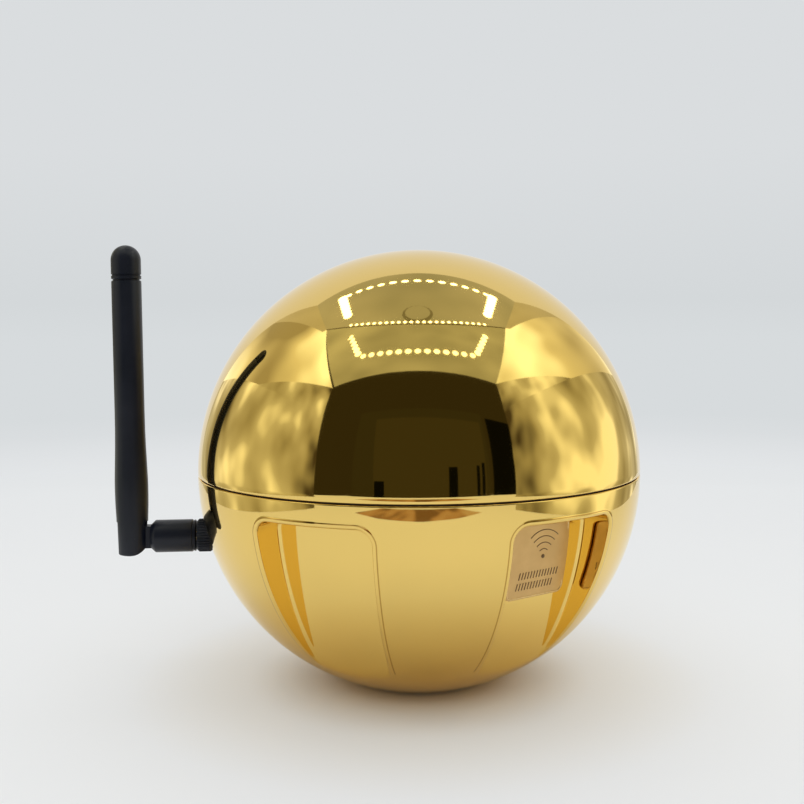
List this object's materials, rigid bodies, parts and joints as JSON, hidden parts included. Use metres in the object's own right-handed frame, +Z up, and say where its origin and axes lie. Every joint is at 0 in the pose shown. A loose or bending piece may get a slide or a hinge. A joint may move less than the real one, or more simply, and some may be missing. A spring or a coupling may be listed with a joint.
{
  "type": "mirror ball",
  "caption": "Smooth gold mirror-plated ball in two shells with four recessed pockets in the lower bowl and a folding, swivelling black antenna on its side.",
  "frame": {"origin": "centre of the lower face of the rubber pad that the ball stands on", "axes": "+Z up through the poles of the ball, -Y to the front rib between the two front pockets, -X along the connector towards the antenna"},
  "size_m": [0.1521, 0.128, 0.1275],
  "materials": {
    "gold_plate": "mirror-bright gold plating over moulded plastic",
    "label_brass": "satin printed foil on a thin plate",
    "black_rubber": "matt",
    "antenna_black": "satin moulded, fine grain",
    "plated_brass": "plated, semi-bright",
    "steel": "zinc-plated",
    "white_plastic": "satin",
    "grey_plastic": "moulded",
    "board_green": "solder mask",
    "cell_wrap": "heat-shrink wrap",
    "black_plastic": "satin",
    "frosted_plastic": "frosted, translucent"
  },
  "bodies": {
    "ball_body": {"base_pad": "black_rubber", "battery_cell_1": "cell_wrap", "battery_cell_2": "cell_wrap", "battery_lead": "black_plastic", "battery_tray": "grey_plastic", "board_screw_1": "steel", "board_screw_2": "steel", "board_screw_3": "steel", "board_screw_4": "steel", "bowl_shell": "gold_plate", "charge_socket": "steel", "chassis_plate": "grey_plastic", "chassis_screw_1": "steel", "chassis_screw_2": "steel", "chassis_screw_3": "steel", "chassis_screw_4": "steel", "coax_lead": "black_plastic", "coax_plug": "plated_brass", "dome_screw_1": "steel", "dome_screw_2": "steel", "dome_screw_3": "steel", "dome_screw_4": "steel", "dome_shell": "gold_plate", "io_board": "board_green", "io_lead": "white_plastic", "io_screw_1": "steel", "io_screw_2": "steel", "jack_body": "plated_brass", "jack_contact": "plated_brass", "jack_insulator": "white_plastic", "jack_nut": "steel", "jack_washer": "steel", "label_plate": "label_brass", "light_board": "white_plastic", "light_diffuser": "frosted_plastic", "light_post_1": "steel", "light_post_2": "steel", "light_post_3": "steel", "main_board": "board_green", "processor": "black_plastic", "radio_module": "board_green", "radio_shield": "steel", "seam_seal": "black_rubber", "socket_tongue": "black_plastic", "switch_body": "black_plastic", "tray_screw_1": "steel", "tray_screw_2": "steel"},
    "coupling_nut": {"antenna_nut": "antenna_black"},
    "knuckle": {"antenna_knuckle": "antenna_black", "antenna_ferrule": "plated_brass", "antenna_contact": "plated_brass"},
    "blade": {"antenna_blade": "antenna_black", "antenna_tip": "antenna_black", "antenna_radiator": "plated_brass", "hinge_pin": "steel"},
    "button": {"power_button": "plated_brass"}
  },
  "joints": [
    {"name": "nut_spin", "type": "hinge", "parent": "ball_body", "child": "coupling_nut", "pos_m": [-0.0626, 0, 0.0436], "axis": [1, 0, 0], "continuous": true},
    {"name": "antenna_swivel", "type": "hinge", "parent": "ball_body", "child": "knuckle", "pos_m": [-0.0716, 0, 0.0436], "axis": [1, 0, 0], "continuous": true},
    {"name": "antenna_fold", "type": "hinge", "parent": "knuckle", "child": "blade", "pos_m": [-0.0834, 0, 0.0436], "axis": [0, -1, 0], "range_deg": [0, 90]},
    {"name": "button_press", "type": "slide", "parent": "ball_body", "child": "button", "axis": [0, -1, 0], "range_m": [0, 0.001], "stiffness_N_per_m": 400, "springref_m": -0.001}
  ]
}
